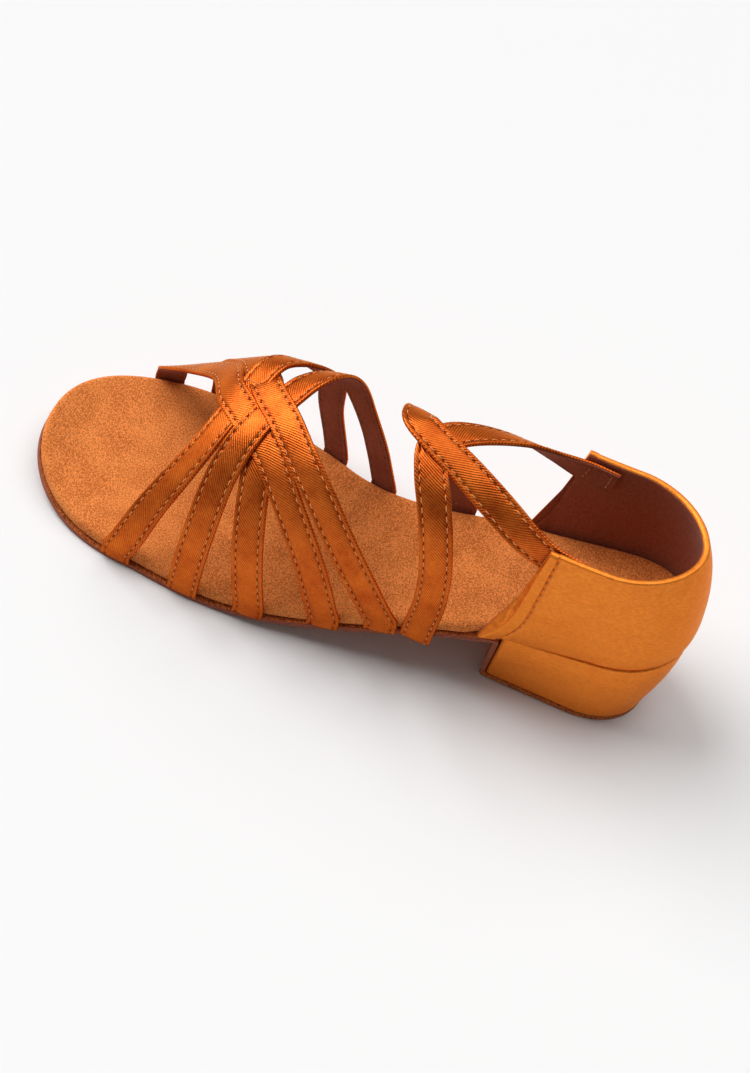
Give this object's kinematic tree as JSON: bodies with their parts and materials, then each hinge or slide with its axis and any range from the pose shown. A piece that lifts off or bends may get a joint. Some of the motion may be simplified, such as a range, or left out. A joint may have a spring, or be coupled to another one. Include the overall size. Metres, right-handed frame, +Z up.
{
  "type": "ballroom dance shoe",
  "caption": "Left open-toed ballroom sandal with a woven satin strap vamp, closed heel counter, low block heel, suede sole and a long strap looped through the waist.",
  "frame": {"origin": "centre of the heel cap's flat underside, on the floor", "axes": "+X to the toe, +Y to the outer (lateral) side of the left foot, +Z up"},
  "size_m": [0.2152, 0.0793, 0.0785],
  "materials": {
    "satin": "tan satin weave with a soft sheen",
    "sole_suede": "coarse brushed suede",
    "insole_suede": "fine brushed suede"
  },
  "bodies": {
    "root": {"outsole": "sole_suede", "insole": "insole_suede", "heel": "satin", "heel_cap": "sole_suede", "heel_counter": "satin", "vamp_straps": "satin", "long_strap": "satin"}
  },
  "joints": []
}
